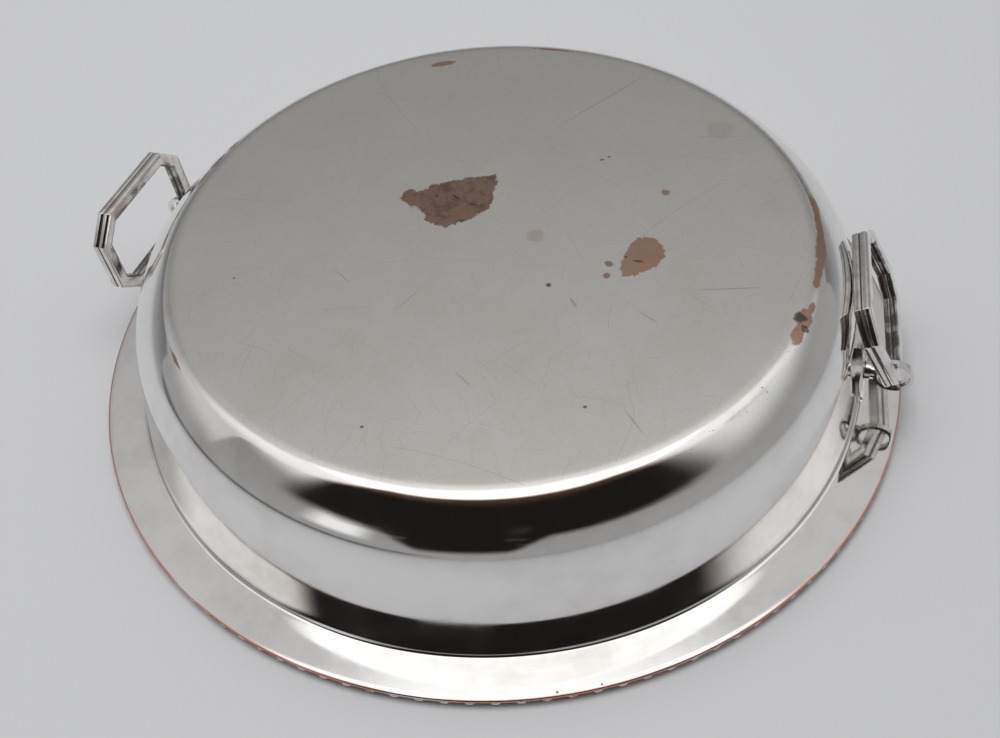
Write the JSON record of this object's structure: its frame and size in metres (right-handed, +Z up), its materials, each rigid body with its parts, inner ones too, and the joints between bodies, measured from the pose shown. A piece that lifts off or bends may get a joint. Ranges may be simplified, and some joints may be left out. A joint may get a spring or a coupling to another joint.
{
  "type": "two-handled deep serving dish",
  "caption": "Round deep silver-plated serving dish, upside down on its lobed rim, with a wide flange and octagonal ring handles that swing in lugs on its wall.",
  "frame": {"origin": "middle of the dish, on the surface that it stands on upside down", "axes": "+Z up from the rim to the flat base, as it stands in the picture; -Y towards the viewer, +X to the picture's right"},
  "size_m": [0.4, 0.4, 0.0785],
  "materials": {
    "plated_dish": "worn silver plate over copper, satin scratched base, polished wall",
    "cast_border": "cast and silver plated",
    "cast_fittings": "cast and silver plated, polished",
    "ring_bar": "reeded bar, silver plated, polished"
  },
  "bodies": {
    "dish": {"dish": "plated_dish", "rim_border": "cast_border", "lug_right": "cast_fittings", "lug_left": "cast_fittings"},
    "ring_right": {"ring_right": "ring_bar"},
    "ring_left": {"ring_left": "ring_bar"}
  },
  "joints": [
    {"name": "right_ring_swing", "type": "hinge", "parent": "dish", "child": "ring_right", "pos_m": [0.17746, -0.0746, 0.0278], "axis": [0.2689, 0.9632, 0], "range_deg": [0, 153]},
    {"name": "left_ring_swing", "type": "hinge", "parent": "dish", "child": "ring_left", "pos_m": [-0.16603, 0.09741, 0.0278], "axis": [-0.4035, -0.915, 0], "range_deg": [-31.5, 121]}
  ]
}
